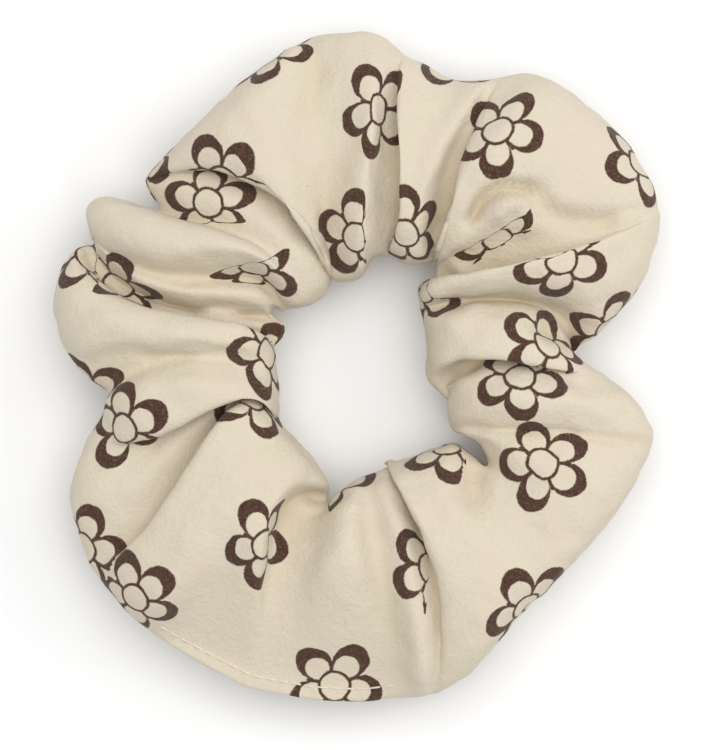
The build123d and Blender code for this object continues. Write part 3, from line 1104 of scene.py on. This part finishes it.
def elastic_material(crepe):
    """Knitted white yarn over the rubber cords."""
    made, shader, place = material("woven_elastic", Roughness=0.75, Sheen_Weight=0.2)
    grain = put("ShaderNodeGroup", {"Vector": place, "Crinkle": 0.3}, node_tree=crepe).outputs
    x, y, z = put("ShaderNodeSeparateXYZ", {0: place}).outputs
    loops = KNIT_RADIUS * 2 * math.pi / KNIT_PITCH
    turn = calc("MULTIPLY", calc("ARCTAN2", y, x), loops)
    slant = calc("SINE", calc("MULTIPLY", z, 2 * math.pi / KNIT_ROW))
    knit = calc("SINE", calc("ADD", turn, calc("MULTIPLY", slant, KNIT_SLANT)))
    yarn = calc("ADD", calc("MULTIPLY", knit, 0.5), 0.5)
    height = calc("ADD", yarn, calc("MULTIPLY", grain["Height"], 0.3))
    colour = toned(yarn, sewing().elastic_colour, 0.8, 1.05)
    looks(shader, Base_Color=colour, Normal=bump(height, 0.7, 0.0001))
    return made


class SCRUNCHIE_OT_cover(bpy.types.Operator):
    """Makes the gathered, printed cover"""

    bl_idname = "scrunchie.cover"
    bl_label = "Printed cover"

    def execute(self, context):
        surface = gathered_surface()
        SHAPES["cover"] = surface
        cover = piece("printed_cover", surface, face_corners().tolist())
        flat = print_coordinates(surface)
        layer = cover.data.uv_layers.new(name="print")
        layer.data.foreach_set("uv", flat[..., :2].reshape(-1))
        past = cover.data.attributes.new("past_fold", "FLOAT", "CORNER")
        past.data.foreach_set("value", flat[..., 2].reshape(-1))
        # how far each point lies in a fold, for the painted fold shade
        depth = cover.data.attributes.new("fold", "FLOAT", "POINT")
        depth.data.foreach_set("value", fold_shade_share(surface).reshape(-1))
        cover.data.materials.append(crepe_material(flower_group(), crepe_group()))
        ply = cover.modifiers.new("ply", "SOLIDIFY")
        ply.thickness = cloth().ply
        ply.offset = -1
        finished(cover, "printed_crepe", "fabric_cover")
        return {"FINISHED"}


class SCRUNCHIE_OT_allowances(bpy.types.Operator):
    """Makes the turned-in seam allowances inside the tube"""

    bl_idname = "scrunchie.allowances"
    bl_label = "Seam allowances"

    def execute(self, context):
        surface = SHAPES["cover"]
        depths = np.linspace(ALLOWANCE_START, ALLOWANCE_START + sewing().allowance / MM, 5)
        ribbon = long_ribbon(surface, depths)
        fin = np.array([end_loop(surface, depth)[0] for depth in depths])
        points = np.concatenate([ribbon.reshape(-1, 3), fin.reshape(-1, 3)])
        faces = grid_faces(len(ribbon), len(depths))
        shift = ribbon[..., 0].size
        faces += [[corner + shift for corner in face] for face in grid_faces(*fin.shape[:2], True)]
        made = piece("seam_allowances", points, faces)
        plies = made.modifiers.new("plies", "SOLIDIFY")
        plies.thickness = 2 * cloth().ply
        plies.offset = 0
        made.data.materials.append(bpy.data.materials["printed_crepe"])
        layer = made.data.uv_layers.new(name="print")
        layer.data.foreach_set("uv", np.full(2 * len(layer.data), FAR))
        finished(made, "printed_crepe", "fabric_cover")
        return {"FINISHED"}


class SCRUNCHIE_OT_seams(bpy.types.Operator):
    """Makes the lockstitches of the long seam, the end seam and the closing seam"""

    bl_idname = "scrunchie.seams"
    bl_label = "Seams"

    def execute(self, context):
        surface = SHAPES["cover"]
        look = thread_material("sewing_thread", sewing().thread_colour)
        tree = stitch_tree()
        size = {"Pitch": sewing().pitch, "Share": sewing().run / sewing().pitch, "Thread": sewing().thread}
        lip = lip_share(surface) > 0.5
        ribbon = [row for row in RIBBON_ROWS if not lip[row]]
        first_gap = next(i for i, (a, b) in enumerate(zip(ribbon, ribbon[1:])) if b - a > 1) + 1
        middle = long_ribbon(surface, [LONG_SEAM_DEPTH])[~lip[RIBBON_ROWS.start : RIBBON_ROWS.stop], 0]
        loop, across = end_loop(surface, END_SEAM_DEPTH)
        level = cloth().ply / MM
        for side, sign in zip(SIDES, (1, -1)):
            up = np.tile((0, 0, sign), (len(middle), 1))
            laid = middle + up * level
            runs = [(laid[:first_gap], up[:first_gap]), (laid[first_gap:], up[first_gap:])]
            stitched(f"long_seam_{side}_thread", runs, tree, size, look, "sewing_thread")
            runs = [(loop + across * sign * level, across * sign)]
            stitched(f"end_seam_{side}_thread", runs, tree, size, look, "sewing_thread")
            edge = [edge_side(surface[row], sewing().lip_width / MM, sign) for row in np.flatnonzero(lip)]
            up = np.tile((0, 0, sign), (len(edge), 1))
            runs = [(np.array(edge), up)]
            stitched(f"closing_seam_{side}_thread", runs, tree, size, look, "sewing_thread")
        return {"FINISHED"}


class SCRUNCHIE_OT_elastic(bpy.types.Operator):
    """Makes the woven elastic loop and the zigzag that joins its ends"""

    bl_idname = "scrunchie.elastic"
    bl_label = "Elastic"

    def execute(self, context):
        points = elastic_sections()
        faces = grid_faces(*points.shape[:2], True)
        last = (len(points) - 1) * points.shape[1]
        faces.append(list(range(points.shape[1]))[::-1])
        faces.append([last + i for i in range(points.shape[1])])
        band = piece("elastic_band_woven", points, faces)
        band.data.materials.append(elastic_material(bpy.data.node_groups["crepe_grain"]))
        finished(band, "woven_elastic", "elastic_band")
        look = thread_material("elastic_thread", sewing().elastic_thread_colour)
        tree = stitch_tree()
        thin = sewing().thread * JOIN_THREAD
        size = {"Pitch": sewing().pitch, "Share": JOIN_RUN, "Thread": thin, "Keep Corners": True}
        for side, sign in zip(SIDES, (1, -1)):
            stitched(f"elastic_join_{side}_thread", [zigzag(sign)], tree, size, look, "elastic_thread")
        return {"FINISHED"}


class SCRUNCHIE_OT_stage(bpy.types.Operator):
    """Makes the floor, the lights and the camera"""

    bl_idname = "scrunchie.stage"
    bl_label = "Stage"

    def execute(self, context):
        set_stage(context)
        return {"FINISHED"}


SHAPES = {}


SKY_STRENGTH = 0.54
LAMPS = (("overhead", (0.05, 0.14, 1.0), 1.0, 7.2), ("side", (0.7, 0.2, 0.5), 0.5, 1.5))
CAMERA_PLACE = (0.0005, -0.0015)  # in plan
FLOOR_SIZE = 2000.0  # from its middle to an edge, in mm


def softbox(name, place, size, power):
    """A square lamp that faces the middle of the scrunchie."""
    data = bpy.data.lights.new(name, "AREA")
    data.size = size
    data.energy = power
    lamp = bpy.data.objects.new(name, data)
    bpy.context.collection.objects.link(lamp)
    lamp.location = place
    lamp.rotation_euler = (-Vector(place)).to_track_quat("-Z", "Y").to_euler()


def set_stage(context):
    """The floor, the white sky, the lamps and the camera."""
    settings = context.scene.scrunchie_stage
    corners = np.array([(-1, -1, 0), (1, -1, 0), (1, 1, 0), (-1, 1, 0)]) * FLOOR_SIZE
    floor = piece("floor", corners, [(0, 1, 2, 3)])
    made, shader, place = material("floor", Roughness=0.9)
    looks(shader, Base_Color=toned(noise(place, 0.05)[0], settings.floor_colour, 0.98, 1))
    floor.data.materials.append(made)
    world = bpy.data.worlds.new("studio")
    world.use_nodes = True
    sky = world.node_tree.nodes["Background"].inputs
    sky["Color"].default_value = (1, 1, 1, 1)
    sky["Strength"].default_value = SKY_STRENGTH
    context.scene.world = world
    context.scene.view_settings.view_transform = "Standard"
    for lamp in LAMPS:
        softbox(*lamp)
    data = bpy.data.cameras.new("camera")
    camera = bpy.data.objects.new("camera", data)
    context.collection.objects.link(camera)
    camera.location = (*CAMERA_PLACE, cloth().crown_height / 2 + settings.camera_height)
    data.lens = data.sensor_width * settings.camera_height / settings.view_height
    context.scene.camera = camera


class SCRUNCHIE_PT_panel(bpy.types.Panel):
    """Lists the scrunchie's pieces and settings"""

    bl_label = "Scrunchie"
    bl_space_type = "VIEW_3D"
    bl_region_type = "UI"
    bl_category = "Scrunchie"

    def draw(self, context):
        for made in OPERATORS:
            self.layout.operator(made.bl_idname)
        for group_name in GROUPS:
            settings = getattr(context.scene, group_name)
            box = self.layout.box()
            for name in settings.bl_rna.properties.keys():
                if name not in ("rna_type", "name"):
                    box.prop(settings, name)


OPERATORS = (
    SCRUNCHIE_OT_cover,
    SCRUNCHIE_OT_allowances,
    SCRUNCHIE_OT_seams,
    SCRUNCHIE_OT_elastic,
    SCRUNCHIE_OT_stage,
)
GROUPS = {
    "scrunchie_cloth": ScrunchieCloth,
    "scrunchie_sewing": ScrunchieSewing,
    "scrunchie_stage": ScrunchieStage,
}


def register():
    for made in (*GROUPS.values(), *OPERATORS, SCRUNCHIE_PT_panel):
        bpy.utils.register_class(made)
    for name, made in GROUPS.items():
        setattr(bpy.types.Scene, name, bpy.props.PointerProperty(type=made))


def unregister():
    for name in GROUPS:
        delattr(bpy.types.Scene, name)
    for made in reversed((*GROUPS.values(), *OPERATORS, SCRUNCHIE_PT_panel)):
        bpy.utils.unregister_class(made)


def main():
    register()
    for made in OPERATORS:
        area, name = made.bl_idname.split(".")
        getattr(getattr(bpy.ops, area), name)()


if __name__ == "__main__":
    main()
